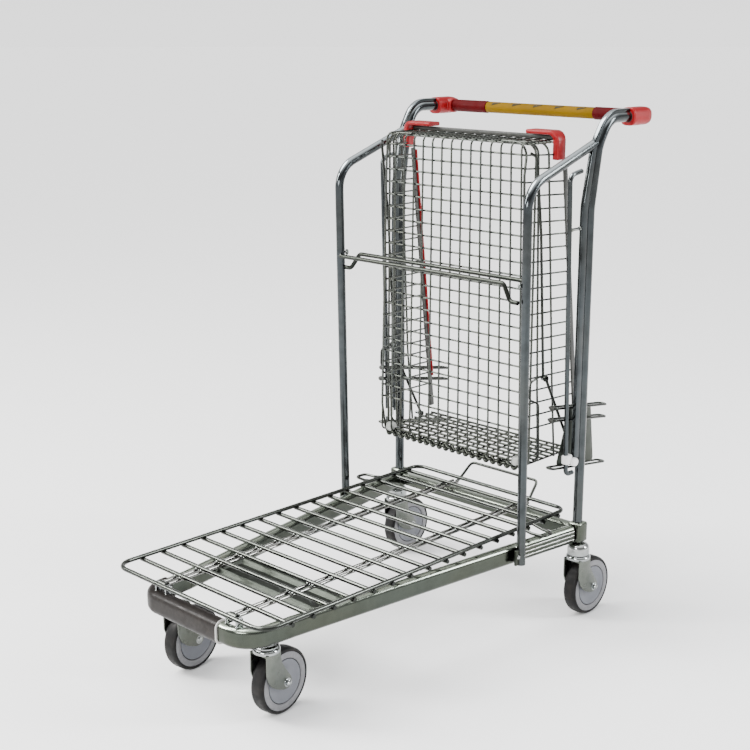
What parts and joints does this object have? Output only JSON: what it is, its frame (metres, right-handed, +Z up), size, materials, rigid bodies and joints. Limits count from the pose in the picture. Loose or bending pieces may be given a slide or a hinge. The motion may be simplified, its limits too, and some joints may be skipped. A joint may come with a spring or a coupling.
{
  "type": "airport luggage trolley",
  "caption": "Steel-wire airport luggage trolley with a flat rod deck, swivel casters, push handle with grip and a wire basket that folds down over a crossbar.",
  "frame": {"origin": "on the floor under the middle of the trolley's footprint, halfway between its sides and between the front bumper and the rear of the handle and rear wheels", "axes": "+Z up, -Y towards the front bumper, which is the way it is pushed, +Y towards the handle and the person pushing, +X towards the right when looking from the front bumper to the handle"},
  "size_m": [0.579, 1.0135, 1.0518],
  "materials": {
    "zinc": "bright zinc-plated steel wire and tube",
    "bumper_grey": "dark grey moulded sleeve, satin",
    "cap_red": "red moulded plastic, semi-gloss",
    "sleeve_red": "dark red plastic sleeve, semi-gloss",
    "grip_yellow": "yellow plastic grip, semi-gloss",
    "rim_grey": "dark grey plastic edging, satin",
    "foot_cap_grey": "light grey plastic caps",
    "bush_white": "white low-friction plastic",
    "tyre_black": "black rubber tread, matt",
    "hub_grey": "grey moulded wheel centre, satin"
  },
  "bodies": {
    "frame": {"base_cross_plate": "zinc", "base_front_bow": "zinc", "base_rail_left": "zinc", "base_rail_right": "zinc", "base_rear_beam": "zinc", "bumper_sleeve": "bumper_grey", "upright_left": "zinc", "upright_right": "zinc", "guide_rod_left": "zinc", "guide_rod_right": "zinc", "side_tube_left": "zinc", "side_tube_right": "zinc", "crossbar_front": "zinc", "crossbar_rear": "zinc", "handle_bar": "zinc", "handle_cap_left": "cap_red", "handle_cap_right": "cap_red", "handle_grip": "grip_yellow", "handle_sleeve_left": "sleeve_red", "handle_sleeve_right": "sleeve_red", "caster_front_left_head": "zinc", "caster_front_right_head": "zinc", "caster_rear_left_head": "zinc", "caster_rear_right_head": "zinc"},
    "deck": {"deck_grid": "zinc", "deck_beam_left": "zinc", "deck_beam_right": "zinc", "deck_lift_loop": "zinc"},
    "basket": {"basket_floor_grid": "zinc", "basket_side_grid_left": "zinc", "basket_side_grid_right": "zinc", "basket_top_grid": "zinc", "basket_bottom_grid": "zinc", "basket_rim_left": "rim_grey", "basket_rim_right": "rim_grey", "basket_rim_top": "rim_grey", "basket_cap_left": "cap_red", "basket_cap_right": "cap_red", "basket_foot_cap_left": "foot_cap_grey", "basket_foot_cap_right": "foot_cap_grey", "basket_bail_left": "zinc", "basket_bail_right": "zinc"},
    "carriage": {"carriage_cage_left": "zinc", "carriage_cage_right": "zinc", "slide_bush_left": "bush_white", "slide_bush_right": "bush_white"},
    "links": {"fold_link_left": "zinc", "fold_link_right": "zinc"},
    "caster_front_right_swivel": {"caster_front_right_fork": "zinc"},
    "caster_front_right_wheel": {"caster_front_right_tyre": "tyre_black", "caster_front_right_hub": "hub_grey"},
    "caster_front_left_swivel": {"caster_front_left_fork": "zinc"},
    "caster_front_left_wheel": {"caster_front_left_tyre": "tyre_black", "caster_front_left_hub": "hub_grey"},
    "caster_rear_right_swivel": {"caster_rear_right_fork": "zinc"},
    "caster_rear_right_wheel": {"caster_rear_right_tyre": "tyre_black", "caster_rear_right_hub": "hub_grey"},
    "caster_rear_left_swivel": {"caster_rear_left_fork": "zinc"},
    "caster_rear_left_wheel": {"caster_rear_left_tyre": "tyre_black", "caster_rear_left_hub": "hub_grey"}
  },
  "joints": [
    {"name": "basket_fold", "type": "hinge", "parent": "frame", "child": "basket", "pos_m": [0, 0.0193, 0.6206], "axis": [1, 0, 0], "range_deg": [0, 78]},
    {"name": "carriage_lift", "type": "slide", "parent": "frame", "child": "carriage", "axis": [0, -0.0319, 0.9995], "range_m": [0, 0.3842]},
    {"name": "link_swing", "type": "hinge", "parent": "carriage", "child": "links", "pos_m": [0, 0.3531, 0.3424], "axis": [1, 0, 0], "range_deg": [0, 30.5]},
    {"name": "deck_lift", "type": "hinge", "parent": "frame", "child": "deck", "pos_m": [0, -0.4751, 0.206], "axis": [1, 0, 0], "range_deg": [0, 5]},
    {"name": "caster_front_right_swivel_turn", "type": "hinge", "parent": "frame", "child": "caster_front_right_swivel", "pos_m": [0.1268, -0.4237, 0.1402], "axis": [0, 0, 1], "continuous": true},
    {"name": "caster_front_right_wheel_spin", "type": "hinge", "parent": "caster_front_right_swivel", "child": "caster_front_right_wheel", "pos_m": [0.12339, -0.39128, 0.0625], "axis": [0.9945, 0.1045, 0], "continuous": true},
    {"name": "caster_front_left_swivel_turn", "type": "hinge", "parent": "frame", "child": "caster_front_left_swivel", "pos_m": [-0.1268, -0.4237, 0.1402], "axis": [0, 0, 1], "continuous": true},
    {"name": "caster_front_left_wheel_spin", "type": "hinge", "parent": "caster_front_left_swivel", "child": "caster_front_left_wheel", "pos_m": [-0.13021, -0.39128, 0.0625], "axis": [0.9945, 0.1045, 0], "continuous": true},
    {"name": "caster_rear_right_swivel_turn", "type": "hinge", "parent": "frame", "child": "caster_rear_right_swivel", "pos_m": [0.2611, 0.3226, 0.1402], "axis": [0, 0, 1], "continuous": true},
    {"name": "caster_rear_right_wheel_spin", "type": "hinge", "parent": "caster_rear_right_swivel", "child": "caster_rear_right_wheel", "pos_m": [0.2611, 0.3552, 0.0625], "axis": [1, 0, 0], "continuous": true},
    {"name": "caster_rear_left_swivel_turn", "type": "hinge", "parent": "frame", "child": "caster_rear_left_swivel", "pos_m": [-0.2611, 0.3226, 0.1402], "axis": [0, 0, 1], "continuous": true},
    {"name": "caster_rear_left_wheel_spin", "type": "hinge", "parent": "caster_rear_left_swivel", "child": "caster_rear_left_wheel", "pos_m": [-0.2611, 0.3552, 0.0625], "axis": [1, 0, 0], "continuous": true}
  ],
  "couplings": [
    {"joint": "carriage_lift", "follows": "basket_fold", "m_per_rad": 0.28181},
    {"joint": "link_swing", "follows": "basket_fold", "ratio": 0.38984}
  ]
}
